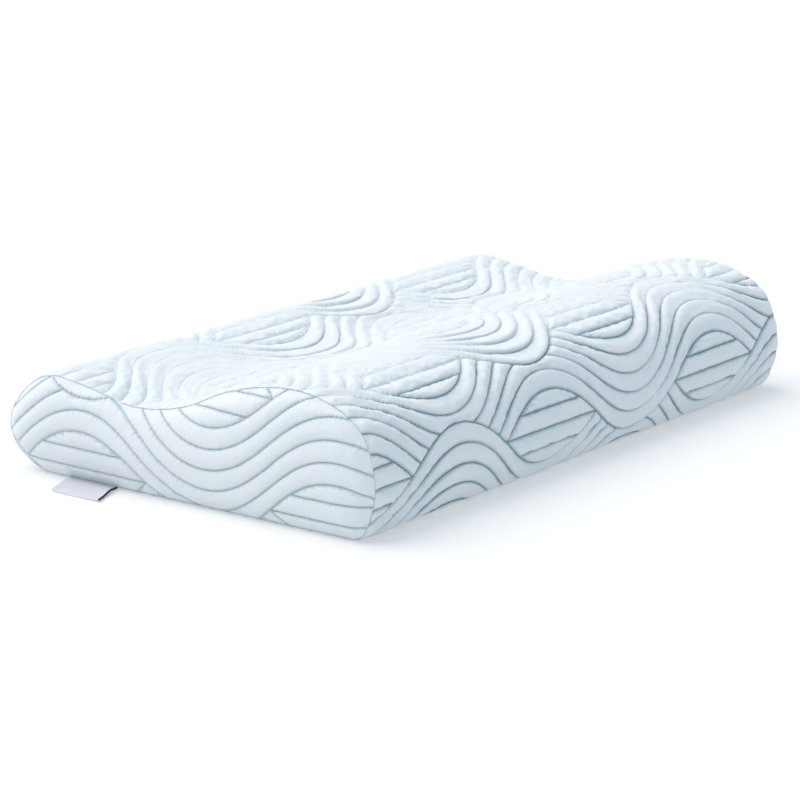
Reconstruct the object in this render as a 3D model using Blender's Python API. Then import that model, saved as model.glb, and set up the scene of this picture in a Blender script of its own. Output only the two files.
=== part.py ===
"""A contour neck pillow in a quilted knit cover, lying flat on its underside.

The filled body carries the long wrap panel of the cover: front, top, back and underside in
one piece of cloth.  Two quilted end panels are sewn to its ends, and a small folded label is
sewn into the bottom seam of the left end.  The quilting is stitched through the cloth as bands
of parallel lines that wave along the pillow and pass over and under each other, with level
lines in the eyes between them.  Each channel between two lines stands up as a soft ridge.

X runs along the pillow, -Y is the side of the high lobe and +Z is up.  The origin is on the
underside, midway between the end seams.
"""
import math

import bmesh
import bpy
import numpy as np
from mathutils import Vector, kdtree
from mathutils.geometry import delaunay_2d_cdt

# The pillow's own sizes, in metres
LENGTH = 0.500            # from end seam to end seam
GAP = 0.0003              # between pieces that touch
PANEL_EDGE = 0.0012       # thickness of an end panel at its seam
END_ROUND = 0.007         # length over which the wrap panel turns in towards an end seam
END_DRAW = 0.0025         # how far an end seam is drawn in from the outline
PANEL_CROWN = 0.0045      # how far an end panel swells close to its seam
PANEL_SWELL = 0.009       # distance from its seam over which it does
PANEL_DOME = 0.005        # how much further it swells towards its middle
PANEL_DOME_REACH = 0.035  # distance from its seam over which it does
FLOOR_FADE = 0.018        # height above the floor at which the quilting has its full depth
FOOT_PLAIN = 0.004        # plain cloth beside each foot, along the outline

# The side outline, over the tops of the channels, from the front foot over the top to the back
# foot.  Columns: the place's name, its Y and its Z in millimetres.
OUTLINE = (
    ("front foot", -137, 0),
    ("under the front nose", -150, 13),
    ("front nose", -155, 41),
    ("above the front nose", -143, 73),
    ("front of the high lobe", -112, 89),
    ("top of the high lobe", -75, 91),
    ("back of the high lobe", -36, 82),
    ("slope to the hollow", 2, 66),
    ("bottom of the hollow", 42, 60),
    ("rise to the low lobe", 83, 67),
    ("top of the low lobe", 116, 70),
    ("above the back nose", 140, 57),
    ("back nose", 155, 34),
    ("under the back nose", 147, 13),
    ("back foot", 120, 0),
)
FOOT_REACH = 0.040        # how far the flat underside steers the curve at each foot
SPAN_POINTS = 60          # points that a curve between two rows is worked out at
OUTLINE_STEP = 0.0005     # spacing of the outline's own points, and of a line's for measuring
OUT_REACH = 0.003         # length either way over which the outward direction is taken
OUTLINE_HEART = (0.0, 0.035)  # a point inside the outline, from which outward is judged

# The quilting
PITCH = 0.014             # between two stitch lines, measured across the pillow
CHANNELS = 5              # in one band
BANDS = 10                # round the pillow: an even number, so that the weave closes
WAVE = 0.210              # length of one wave of a band
SWING = 0.025             # how far a band waves to each side
FLATTEN = 0.5             # above 0, the crests are a little flatter than a sine's
EYE_LINES = (-1, 0, 1)    # level lines in an eye, in pitches from its middle
CHANNEL_RISE = 0.0026     # height of a channel on the wrap panel above its stitch lines
PANEL_RISE = 0.0021       # the same on an end panel
CHANNEL_SIDE = 0.0055     # distance from a stitch line at which a channel is at its top
SHOULDER = 0.28           # where a channel's two rows of raised points run, in pitches
END_SHIFT = (0.030, 0.025)    # where the weave lies on an end panel, along and across

# The faceting
STEP = 0.015              # between points along a line
CLEAR = 0.0024            # least distance from a raised point to a stitch line
JOIN = 1e-5               # lines this near to each other meet
SHORTEST = 0.0008         # points nearer to each other than this are made one
EDGE_STEP = 0.008         # between points round an end
END_ROWS = (0.002, 0.0045, END_ROUND)     # rows of points beside an end seam
ACROSS_UNDER = 8          # points along the middle of the underside
SCAN_STEP = 0.001         # between places at which a line is tested for being covered
HALVINGS = 30             # with which the place is found where a line goes under a band
TINY = 1e-7

# The label, at the left end
LABEL_WIDTH = 0.042
LABEL_PLACE = 0.0795      # Y of the middle of its sewn edge
LABEL_THICK = 0.0012
LABEL_SKEW = 0.38         # how far it leans towards -Y for each metre that it reaches out
# Columns: how far out from the end seam, and the height of the underside, in millimetres
LABEL_DROP = (
    (-1.2, 0.9),
    (3.0, 1.0),
    (8.0, 0.9),
    (13.0, 0.5),
    (18.0, 0.3),
    (30.0, 0.2),
)
LABEL_CUTS = 6            # across its width

# Colours, roughness
CLOTH = ((0.78, 0.84, 0.88), 0.85)
SATIN = ((0.90, 0.88, 0.90), 0.45)

BODY_HALF = LENGTH / 2 - PANEL_EDGE - GAP
BAND_WIDTH = CHANNELS * PITCH


def clear_scene():
    for thing in list(bpy.data.objects):
        bpy.data.objects.remove(thing, do_unlink=True)


def smooth_step(t):
    t = np.clip(t, 0.0, 1.0)
    return t * t * (3 - 2 * t)


# The outline

def outline_curve():
    """Points round a cross-section, from the middle of the underside towards -Y."""
    marks = [np.array((y, z)) / 1000 for _name, y, z in OUTLINE]
    before = marks[0] + (FOOT_REACH, 0)
    after = marks[-1] - (FOOT_REACH, 0)
    chain = [before] + marks + [after]
    curve = [np.array((0.0, 0.0))]
    for a, b, c, d in zip(chain, chain[1:], chain[2:], chain[3:]):
        for t in np.linspace(0, 1, SPAN_POINTS, endpoint=False):
            curve.append(0.5 * (2 * b + (c - a) * t + (2 * a - 5 * b + 4 * c - d) * t**2
                                + (3 * b - a - 3 * c + d) * t**3))
    curve += [marks[-1], np.array((0.0, 0.0))]
    curve = np.array(curve)
    curve[:, 1] = np.maximum(curve[:, 1], 0.0)
    run = np.concatenate(([0], np.cumsum(np.linalg.norm(np.diff(curve, axis=0), axis=1))))
    places = np.linspace(0, run[-1], int(run[-1] / OUTLINE_STEP) + 1)
    return np.column_stack([np.interp(places, run, curve[:, i]) for i in (0, 1)]), places


CURVE, CURVE_RUN = outline_curve()
GIRTH = CURVE_RUN[-1]
BAND_STEP = GIRTH / BANDS


def outline_at(v):
    """The outline's point and outward direction at the distance v round it."""
    def point(w):
        w = np.mod(w, GIRTH)
        return np.column_stack([np.interp(w, CURVE_RUN, CURVE[:, i]) for i in (0, 1)])
    along = point(v + OUT_REACH) - point(v - OUT_REACH)
    out = np.column_stack((along[:, 1], -along[:, 0]))
    out /= np.linalg.norm(out, axis=1)[:, None]
    out *= np.sign(np.sum(out * (point(v) - OUTLINE_HEART), axis=1))[:, None]
    return point(v), out


def foot(front):
    """How far round the outline its front or back foot is."""
    raised = np.nonzero(CURVE[:, 1] > TINY)[0]
    return CURVE_RUN[raised[0] if front else raised[-1]]


# The quilting's lines, in cloth space: u along a wave and v across it

def band_middle(k, u):
    turn = 2 * math.pi * (u / WAVE - 0.5 * (k % 2))
    return BAND_STEP * k + SWING * np.tanh(FLATTEN * np.sin(turn)) / math.tanh(FLATTEN)


def in_band(k, u, v):
    return np.abs(v - band_middle(k, u)) < BAND_WIDTH / 2 - TINY


def lies_over(k, u):
    """Whether band k passes over band k - 1 at u."""
    crest = np.round(u / WAVE - 0.5 * ((k - 1) % 2) - 0.25)
    return (crest + k - 1) % 2 == 0


class Line:
    """A line of the quilting: in band k, or in the eyes between bands k and k + 1."""

    def __init__(self, k, offset, in_eye=False):
        self.k = k
        self.offset = offset
        self.in_eye = in_eye
        self.joins = []

    def v(self, u):
        if self.in_eye:
            return BAND_STEP * (self.k + 0.5) + self.offset + 0.0 * u
        return band_middle(self.k, u) + self.offset

    def hidden(self, u):
        v = self.v(u)
        if self.in_eye:
            return in_band(self.k, u, v) | in_band(self.k + 1, u, v)
        under_next = in_band(self.k + 1, u, v) & lies_over(self.k + 1, u)
        return under_next | (in_band(self.k - 1, u, v) & ~lies_over(self.k, u))

    def runs(self, first, last):
        """The stretches of u on which the line shows."""
        u = np.arange(first, last, SCAN_STEP)
        shows = ~self.hidden(u)
        turns = [first] if shows[0] else []
        for i in np.nonzero(shows[1:] != shows[:-1])[0]:
            a, b = u[i], u[i + 1]
            for _ in range(HALVINGS):
                middle = (a + b) / 2
                if bool(self.hidden(middle)) == (not shows[i]):
                    a = middle
                else:
                    b = middle
            turns.append((a + b) / 2)
        if shows[-1]:
            turns.append(last)
        return list(zip(turns[::2], turns[1::2]))


def quilting_lines(lowest, highest, in_bands, in_eyes):
    """Lines at the given pitches in every band and eye between two values of v."""
    lines = []
    for k in range(math.floor(lowest / BAND_STEP) - 1, math.ceil(highest / BAND_STEP) + 2):
        lines += [Line(k, place * PITCH - BAND_WIDTH / 2) for place in in_bands]
        lines += [Line(k, place * PITCH, in_eye=True) for place in in_eyes]
    return lines


def sampled(line, start, stop, rows=(), joins=()):
    """Points along a line, with one at each join and, where there is room, at each row."""
    fixed = [start, stop] + [u for u in joins if start < u < stop]
    fixed += [u for u in rows if start < u < stop and min(abs(u - w) for w in fixed) > CLEAR]
    marks = sorted(fixed)
    us = []
    for a, b in zip(marks, marks[1:]):
        length = math.hypot(b - a, float(line.v(b) - line.v(a)))
        us += list(np.linspace(a, b, max(1, round(length / STEP)), endpoint=False))
    us = np.array(us + [stop])
    return np.column_stack((us, line.v(us)))


def stitch_lines(first, last, lowest, highest, rows=()):
    """Stitch lines as rows of (u, v), each joined to the lines that it ends at."""
    lines = quilting_lines(lowest, highest, range(CHANNELS + 1), EYE_LINES)
    edges = [line for line in lines if not line.in_eye
             and abs(abs(line.offset) - BAND_WIDTH / 2) < TINY]
    for line in lines:
        for end in {u for run in line.runs(first, last) for u in run} - {first, last}:
            for edge in edges:
                if edge is not line and abs(edge.v(end) - line.v(end)) < JOIN:
                    edge.joins.append(end)
    return [sampled(line, *run, rows, line.joins)
            for line in lines for run in line.runs(first, last)]


def shoulder_lines(first, last, lowest, highest, rows=()):
    """Rows of (u, v) along the two shoulders of each channel."""
    sides = SHOULDER, 1 - SHOULDER
    in_bands = [j + side for j in range(CHANNELS) for side in sides]
    in_eyes = [j + side for j in range(EYE_LINES[0] - 1, EYE_LINES[-1] + 1) for side in sides]
    lines = quilting_lines(lowest, highest, in_bands, in_eyes)
    return [sampled(line, *run, rows) for line in lines for run in line.runs(first, last)]


def kept_parts(row, keep):
    """The stretches of a row of points that are kept."""
    cuts = np.nonzero(keep[1:] != keep[:-1])[0] + 1
    parts = zip(np.split(row, cuts), np.split(keep, cuts))
    return [part for part, kept in parts if kept[0]]


def stitch_tree(lines):
    """A finder of the distance to the nearest stitch line."""
    dense = []
    for line in lines:
        for a, b in zip(line, line[1:]):
            count = max(2, int(np.linalg.norm(b - a) / OUTLINE_STEP))
            dense += [a + (b - a) * t for t in np.linspace(0, 1, count)]
    tree = kdtree.KDTree(len(dense))
    for i, (u, v) in enumerate(dense):
        tree.insert((u, v, 0), i)
    tree.balance()
    return tree


def away(tree, points):
    """Each point's distance to the nearest stitch line."""
    return np.array([tree.find((u, v, 0))[2] for u, v in points])


def rise(tree, points):
    """0 in a stitch line and 1 on the top of a channel, at each point."""
    return np.sqrt(1 - (1 - np.clip(away(tree, points) / CHANNEL_SIDE, 0, 1)) ** 2)


def triangulate(border, lines, loose=()):
    """Triangles inside an anticlockwise border, with the lines as edges."""
    points = [Vector(p) for p in border]
    edges = []
    for line in lines:
        start = len(points)
        points += [Vector(p) for p in line]
        edges += [(i, i + 1) for i in range(start, len(points) - 1)]
    points += [Vector(p) for p in loose]
    found = delaunay_2d_cdt(points, edges, [list(range(len(border)))], 0, TINY)
    faces = [face for face, inside in zip(found[2], found[5]) if inside]
    return np.array([tuple(p) for p in found[0]]), faces


def add_object(name, mesh_maker, colour):
    """An object of a closed mesh, with faces out, smooth shading and a material."""
    bm = bmesh.new()
    mesh_maker(bm)
    bmesh.ops.triangulate(bm, faces=[f for f in bm.faces if len(f.verts) > 3])
    bmesh.ops.recalc_face_normals(bm, faces=bm.faces)
    mesh = bpy.data.meshes.new(name)
    bm.to_mesh(mesh)
    bm.free()
    mesh.shade_smooth()
    thing = bpy.data.objects.new(name, mesh)
    bpy.context.scene.collection.objects.link(thing)
    material = bpy.data.materials.new(name)
    material.use_nodes = True
    shader = material.node_tree.nodes["Principled BSDF"]
    shader.inputs["Base Color"].default_value = (*colour[0], 1)
    shader.inputs["Roughness"].default_value = colour[1]
    mesh.materials.append(material)
    return thing


# The filled body and its wrap panel

def on_wrap(points, risen):
    """Where the wrap panel's cloth places (u, v) are in space."""
    place, out = outline_at(points[:, 1])
    from_seam = BODY_HALF - np.abs(points[:, 0])
    turn = np.clip(1 - from_seam / END_ROUND, 0, 1)
    drawn_in = END_DRAW * (1 - np.sqrt(1 - turn * turn))
    depth = CHANNEL_RISE * smooth_step(from_seam / END_ROUND) * smooth_step(place[:, 1] / FLOOR_FADE)
    place = place - out * (drawn_in + depth * (1 - risen))[:, None]
    return np.column_stack((points[:, 0], place))


def plain_round():
    """Places round the underside, from the back foot to the front foot."""
    front, back = foot(True), foot(False)
    return np.linspace(back, front + GIRTH, round((front + GIRTH - back) / STEP))


def build_body(bm):
    front, back = foot(True) + FOOT_PLAIN, foot(False) - FOOT_PLAIN
    ends = [side * (BODY_HALF - row) for side in (-1, 1) for row in END_ROWS]
    spans = -LENGTH / 2, LENGTH / 2, front, back, ends

    def above_feet(row):
        return (row[:, 1] > front) & (row[:, 1] < back)

    stitched = [part for row in stitch_lines(*spans) for part in kept_parts(row, above_feet(row))]
    tree = stitch_tree(stitched)
    raised = [part for row in shoulder_lines(*spans)
              for part in kept_parts(row, above_feet(row) & (away(tree, row) > CLEAR))]

    rounds = sorted(v % GIRTH for v in plain_round())
    plain = [(u, v) for u in ends for v in rounds]
    flat_half = BODY_HALF - END_ROUND
    for v in (foot(True), foot(False)):
        plain += [(u, v) for u in np.linspace(-flat_half, flat_half, round(LENGTH / STEP))[1:-1]]
    across = sorted(ends) + [-BODY_HALF, BODY_HALF]
    across = sorted(across + list(np.linspace(-flat_half, flat_half, ACROSS_UNDER)[1:-1]))
    border = [(u, 0.0) for u in across] + [(BODY_HALF, v) for v in rounds]
    border += [(u, GIRTH) for u in reversed(across)] + [(-BODY_HALF, v) for v in reversed(rounds)]
    points, faces = triangulate(border, stitched + raised, plain)

    verts = [bm.verts.new(p) for p in on_wrap(points, rise(tree, points))]
    for face in faces:
        bm.faces.new([verts[i] for i in face])
    bmesh.ops.remove_doubles(bm, verts=bm.verts, dist=SHORTEST)
    bmesh.ops.delete(bm, geom=[p for p in bm.verts if not p.link_faces], context="VERTS")
    bmesh.ops.holes_fill(bm, edges=[e for e in bm.edges if e.is_boundary], sides=0)


# The end panels

def end_outline():
    """The seam line of an end, as (y, z) points, anticlockwise."""
    front, back = foot(True), foot(False)
    above = np.linspace(front, back, round((back - front) / EDGE_STEP))
    place, out = outline_at(np.concatenate((above, plain_round()[1:-1]))[::-1])
    return place - out * END_DRAW


def distance_inside(points, outline):
    """How far each point is from the nearest edge of a closed outline."""
    nearest = np.full(len(points), np.inf)
    for a, b in zip(outline, np.roll(outline, -1, axis=0)):
        t = np.clip((points - a) @ (b - a) / ((b - a) @ (b - a)), 0, 1)
        nearest = np.minimum(nearest, np.linalg.norm(points - a - t[:, None] * (b - a), axis=1))
    return nearest


def build_end_panel(bm, side):
    outline = end_outline()
    low, high = outline.min(axis=0), outline.max(axis=0)
    shift = np.array(END_SHIFT)
    spans = shift[0] - high[0], shift[0] - low[0], low[1] + shift[1], high[1] + shift[1]

    def laid(rows):
        return [np.column_stack((shift[0] - row[:, 0], row[:, 1] - shift[1])) for row in rows]

    stitched = laid(stitch_lines(*spans))
    tree = stitch_tree(stitched)
    raised = []
    for row in laid(shoulder_lines(*spans)):
        keep = (away(tree, row) > CLEAR) & (distance_inside(row, outline) > EDGE_STEP / 2)
        raised += kept_parts(row, keep)
    points, faces = triangulate(outline, stitched + raised)

    from_seam = distance_inside(points, outline)
    swell = PANEL_CROWN * (1 - np.exp(-from_seam / PANEL_SWELL))
    swell += PANEL_DOME * (1 - np.exp(-from_seam / PANEL_DOME_REACH))
    risen = rise(tree, points) * smooth_step(from_seam / END_ROUND)
    out = LENGTH / 2 + swell + PANEL_RISE * risen
    verts = [bm.verts.new((side * x, y, z)) for x, (y, z) in zip(out, points)]
    for face in faces:
        bm.faces.new([verts[i] for i in face])
    bmesh.ops.delete(bm, geom=[p for p in bm.verts if not p.link_faces], context="VERTS")
    wall = bmesh.ops.extrude_edge_only(bm, edges=[e for e in bm.edges if e.is_boundary])["geom"]
    for item in wall:
        if isinstance(item, bmesh.types.BMVert):
            item.co.x = side * (LENGTH / 2 - PANEL_EDGE)
    bmesh.ops.remove_doubles(bm, verts=bm.verts, dist=SHORTEST)
    bmesh.ops.holes_fill(bm, edges=[e for e in bm.edges if e.is_boundary], sides=0)


# The label

def build_label(bm):
    """A folded satin tag that comes out of the bottom seam and droops to the floor."""
    rows = []
    for out, height in LABEL_DROP:
        out, height = out / 1000, height / 1000
        lean = LABEL_PLACE - LABEL_SKEW * out
        across = np.linspace(-LABEL_WIDTH / 2, LABEL_WIDTH / 2, LABEL_CUTS + 1)
        low = [bm.verts.new((-LENGTH / 2 - out, lean + y, height)) for y in across]
        high = [bm.verts.new((-LENGTH / 2 - out, lean + y, height + LABEL_THICK)) for y in across]
        rows.append(low + high[::-1])
    for a, b in zip(rows, rows[1:]):
        for i, _ in enumerate(a):
            j = (i + 1) % len(a)
            bm.faces.new((a[i], a[j], b[j], b[i]))
    bm.faces.new(rows[0])
    bm.faces.new(rows[-1])


clear_scene()
add_object("pillow_body", build_body, CLOTH)
for panel_name, panel_side in (("end_panel_left", -1), ("end_panel_right", 1)):
    add_object(panel_name, lambda bm, side=panel_side: build_end_panel(bm, side), CLOTH)
add_object("seam_label", build_label, SATIN)
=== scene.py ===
"""A contour neck pillow in a quilted knit cover, lying on a pale floor.

The cover is a wrap panel and two end panels, quilted in bands of parallel stitch lines that
wave along the pillow and pass over and under each other.  Each cloth piece is a fine mesh
whose edges follow the stitch lines, so that the channels puff up between them; the quilting
thread is separate stitches that lie in the grooves.
"""
import math

import bmesh
import bpy
import numpy as np
from mathutils import Matrix, Vector, kdtree, noise
from mathutils.geometry import delaunay_2d_cdt


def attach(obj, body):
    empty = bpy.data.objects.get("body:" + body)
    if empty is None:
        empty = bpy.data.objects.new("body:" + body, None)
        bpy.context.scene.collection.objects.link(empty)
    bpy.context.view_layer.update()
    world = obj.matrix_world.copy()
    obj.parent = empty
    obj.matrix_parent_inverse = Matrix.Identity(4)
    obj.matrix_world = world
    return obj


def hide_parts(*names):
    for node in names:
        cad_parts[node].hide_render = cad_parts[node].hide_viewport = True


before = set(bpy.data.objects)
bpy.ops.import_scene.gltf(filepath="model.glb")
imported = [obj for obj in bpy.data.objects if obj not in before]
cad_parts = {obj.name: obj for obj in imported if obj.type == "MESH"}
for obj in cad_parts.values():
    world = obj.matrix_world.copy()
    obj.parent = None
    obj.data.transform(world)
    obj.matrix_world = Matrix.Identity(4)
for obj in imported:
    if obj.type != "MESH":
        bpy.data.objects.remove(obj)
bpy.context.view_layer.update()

# The pillow's sizes, in metres, as in its solids
LENGTH = 0.500            # from end seam to end seam
END_ROUND = 0.007         # length over which the wrap panel turns in towards an end seam
END_DRAW = 0.0015         # how far an end seam is drawn in from the outline
END_TURN = math.radians(112)  # how far the wrap panel has turned where it meets the seam
PANEL_BACK = 0.2488       # X of an end panel's hidden face
SEAM_X = 0.2487           # X of the seam's bottom
SEAM_LIP = 0.0012         # how far an end panel's rim lies below its face
PANEL_CROWN = 0.0045      # how far an end panel swells close to its seam
PANEL_SWELL = 0.009       # distance from its seam over which it does
PANEL_DOME = 0.005        # how much further it swells towards its middle
PANEL_DOME_REACH = 0.035  # distance from its seam over which it does
FLOOR_FADE = 0.018        # height above the floor at which the quilting has its full depth

# The side outline, over the tops of the channels, from the front foot over the top to the back
# foot.  Columns: the place's name, its Y and its Z in millimetres.
OUTLINE = (
    ("front foot", -137, 0),
    ("under the front nose", -150, 13),
    ("front nose", -155, 41),
    ("above the front nose", -143, 73),
    ("front of the high lobe", -112, 89),
    ("top of the high lobe", -75, 91),
    ("back of the high lobe", -36, 82),
    ("slope to the hollow", 2, 66),
    ("bottom of the hollow", 42, 60),
    ("rise to the low lobe", 83, 67),
    ("top of the low lobe", 116, 70),
    ("above the back nose", 140, 57),
    ("back nose", 155, 34),
    ("under the back nose", 147, 13),
    ("back foot", 120, 0),
)
FOOT_REACH = 0.040        # how far the flat underside steers the curve at each foot
SPAN_POINTS = 60          # points that a curve between two rows is worked out at
OUTLINE_STEP = 0.0005     # spacing of the outline's own points
OUT_REACH = 0.003         # length either way over which the outward direction is taken
OUTLINE_HEART = (0.0, 0.035)  # a point inside the outline, from which outward is judged

# The quilting
PITCH = 0.014             # between two stitch lines, measured across the pillow
CHANNELS = 5              # in one band
BANDS = 10                # round the pillow
WAVE = 0.210              # length of one wave of a band
SWING = 0.025             # how far a band waves to each side
FLATTEN = 0.5             # above 0, the crests are a little flatter than a sine's
EYE_LINES = (-1, 0, 1)    # level lines in an eye, in pitches from its middle
CHANNEL_RISE = 0.0027     # height of a channel on the wrap panel above its stitch lines
UNDER_RISE = 0.0012       # the same where the pillow's weight presses it flat
PANEL_RISE = 0.0024       # the same on an end panel
CHANNEL_SIDE = 0.0062     # distance from a stitch line at which a channel is at its top
END_SHIFT = (0.030, 0.025)    # where the weave lies on an end panel, along and across

# The fine mesh
STITCH_STEP = 0.0022      # between points along a stitch line
# Rows of points beside a stitch line.  Columns: distance from it in pitches, and the spacing of
# the row's points.
SIDE_ROWS = (
    (0.055, 0.0022),
    (0.160, 0.0022),
    (0.310, 0.0026),
    (0.500, 0.0032),
)
CLEAR = 0.0006            # least distance from a row's point to a stitch line
JOIN = 1e-5               # lines this near to each other meet
SCAN_STEP = 0.001         # between places at which a line is tested for being covered
HALVINGS = 30             # with which the place is found where a line goes under a band
RIM_STEP = 0.0025         # between points round an end
END_ROWS = (0.0006, 0.0013, 0.0022, 0.0033, 0.0046, END_ROUND)
TINY = 1e-7

# Puckers: small creases across the channels, from each stitch line outwards
PUCKER_LENGTH = 0.0060    # from one to the next
PUCKER_REACH = 0.0020     # distance from the stitch line at which they are deepest
PUCKER_DEPTH = 0.0005
PUCKER_GAIN = 2.0         # how steeply a pucker begins
PUCKER_SHARE = 0.1        # above 0, they take up a little more than half of a line
PATCH_LENGTH = 0.050      # size of the patches in which they are strong or weak
PATCH_MIDDLE = 0.7        # their strength in between
PATCH_RANGE = (0.2, 1.5)  # their least and greatest strength
TICK_SCALE = 420          # per metre: fine creases where the thread pulls the cloth
TICK_REACH = 0.0048       # distance from the stitch line at which they fade out
TICK_DEPTH = 0.0011
SEAM_PUCKER_LENGTH = 0.009
SEAM_PUCKER_REACH = 0.004
SEAM_PUCKER_DEPTH = 0.0007
SAG_LENGTH = 0.075        # size of the soft unevenness of the whole surface
SAG_DEPTH = 0.0008
WANDER = 0.0009           # how far a stitch line strays

# Places in the noise, so that no unevenness repeats another
LINE_SEED = 7.31          # times a stitch line's number
SIDE_SEED = 3.7           # times 1 or -1 for the side of the line
PATCH_SEED = 4.2
WRAP_SEAM_SEEDS = (2.3, 0.7)
END_SEAM_SEED = 5.1
STRAY_SEEDS = (1.5, 8.5)
LABEL_SEED = 3.3

# The cloth simulation
CLOTH_QUALITY = 3
CLOTH_MASS = 0.15
CLOTH_STRETCH = 10
CLOTH_SHEAR = 3
CLOTH_BEND = 0.5
CLOTH_PRESSURE = 2.0
CLOTH_SPARE = 0.014       # share by which the cloth is longer than the space it is sewn into
CLOTH_FRAMES = 10
STITCH_HOLD = 1e-4        # the cloth is held this near to a stitch line,
SEAM_HOLD = 0.0010        # this near to an end seam
FLOOR_HOLD = 0.0015       # and this near to the floor
MOST_SWELL = 0.0035       # the furthest that a point may move

# The thread
THREAD_STITCH = 0.0032    # length of a stitch
THREAD_GAP = 0.0004       # between two stitches
THREAD_WIDTH = 0.00115
END_THREAD_WIDTH = 0.0009     # on an end panel
THREAD_HEIGHT = 0.0008
THREAD_SIDES = 5
THREAD_LIFT = 0.0003      # of a stitch's middle above the bottom of its groove
THREAD_SHORTEST = 0.009   # no thread is laid along a shorter line
THREAD_END = 0.0022       # distance from an end seam at which the thread goes under
THREAD_SPLIT = 0.25       # a line is cut at the panel's rim to this share of its steps
THREAD_FEWEST = 4         # along so few of those shares, or fewer, there is no thread
# The rings of a stitch.  Columns: how far along it in its lengths, its size there, and the rise
# of its middle in thirds of its height.
STITCH_RINGS = (
    (-0.50, 0.35, -0.8),
    (-0.26, 1.00, 0.0),
    (0.26, 1.00, 0.0),
    (0.50, 0.35, -0.8),
)

# Painted light: the thread and its grooves are coloured paler on the upper side, where the key
# light falls most
PAINTED_LIGHT_FROM = (0.0, 0.20, 0.98)      # the direction in which they are palest
PAINTED_LIGHT_SPAN = (0.76, 0.95)  # from not at all to fully, as the cosine of the angle to it
END_PAINTED_LIGHT = 0.58           # at the middle of an end panel
END_PAINTED_LIGHT_GAIN = 0.8           # by how much more for each metre towards the low lobe

# The label
LABEL_WIDTH = 0.042       # along its sewn edge
LABEL_PLACE = 0.0795      # Y of the middle of its sewn edge
LABEL_THICK = 0.0007
LABEL_SKEW = 0.38         # how far it leans towards -Y for each metre that it reaches out
# Columns: how far out from the end seam, and the height of the underside, in millimetres
LABEL_DROP = (
    (-1.0, 0.5),
    (3.0, 0.9),
    (8.0, 0.9),
    (13.0, 0.5),
    (18.0, 0.3),
    (24.0, 0.2),
    (30.0, 0.4),
)
LABEL_ROWS = 41
LABEL_ACROSS = 29
LABEL_SMOOTHING = 8
LABEL_FREE = 0.012        # length from its seam over which it comes free to curl
LABEL_CURL = 0.0010       # how far its side edges curl up
LABEL_RIPPLE = 0.0005
LABEL_RIPPLE_LENGTH = 0.012
LABEL_EDGE = 0.0015       # width of the dark edge thread
LABEL_EDGE_OVER = 0.0004  # how far it stands over the label's faces
LABEL_EDGE_SIDES = 8
LABEL_EDGE_STITCH = 0.0021
LABEL_EDGE_TWIST = 0.12   # how much its thickness varies from stitch to stitch

# Colours.  Where there are two, a pattern mixes them.
KNIT_COLOURS = ((0.715, 0.765, 0.79, 1), (0.745, 0.775, 0.805, 1))
# Grooves: the thread's grey-green darkened as painted shade; the next colour is its paler copy
# with painted light
GROOVE_THREAD_AND_SHADE = (0.38, 0.49, 0.53, 1)
GROOVE_PAINTED_LIT = (0.67, 0.75, 0.775, 1)
GROOVE_FADE = (0.0002, 0.0017)        # distances from a stitch line between which it fades out
# Painted shade at the seam crevice: the seam is coloured like a groove
SEAM_SHADE_FADE = (1.4, 0.0005)             # at a seam that distance is taken times one, plus the other
THREAD_DARK = ((0.13, 0.25, 0.28, 1), (0.20, 0.33, 0.36, 1))
# Painted light: a paler copy of the thread's colours, mixed in where the cloth faces up
THREAD_PAINTED_LIT = ((0.60, 0.72, 0.76, 1), (0.66, 0.77, 0.80, 1))
EDGE_COLOURS = ((0.002, 0.002, 0.003, 1), (0.010, 0.010, 0.013, 1))
SATIN_COLOURS = ((0.60, 0.60, 0.66, 1), (0.65, 0.65, 0.71, 1))

# How fine the patterns in the materials are, per metre, and how deep their relief is
KNIT_SCALE = 14
RIB_SCALE = 320
RIB_DEPTH = 0.0002
THREAD_SCALE = 60
EDGE_SCALE = 500
SATIN_SCALE = 400
SATIN_DEPTH = 0.0001

# Light: a large soft key from above, behind and the left, a pale blue surround, and a floor
# that glows a little
WORLD_STRENGTH = 0.71
WORLD_COLOUR = (0.79, 0.92, 1.05, 1)
KEY_STRENGTH = 2.55
KEY_COLOUR = (1.0, 0.905, 0.82)
KEY_SOFTNESS = math.radians(64)
KEY_FROM = (-0.20, 0.46, 0.84)
FLOOR_HALF = 6.0          # half of the floor's side, in metres
FLOOR_COLOUR = (0.555, 0.555, 0.555, 1)
FLOOR_GLOW = (0.95, 0.98, 1.0, 1)
FLOOR_GLOW_STRENGTH = 0.35

# The camera, where the photograph was taken from
CAMERA_AZIMUTH = math.radians(-53.64)
CAMERA_ELEVATION = math.radians(14.45)
CAMERA_ROLL = math.radians(0.25)
CAMERA_AIM = (0.0, 0.0, 0.05)
CAMERA_DISTANCE = 2.131
CAMERA_ASIDE = (-0.0091, -0.0303)     # of the camera from the aim, rightwards and upwards
CAMERA_LENS = 135.44      # millimetres, on a 36 mm sensor


def smooth_step(t):
    t = np.clip(t, 0.0, 1.0)
    return t * t * (3 - 2 * t)


# The outline

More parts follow.
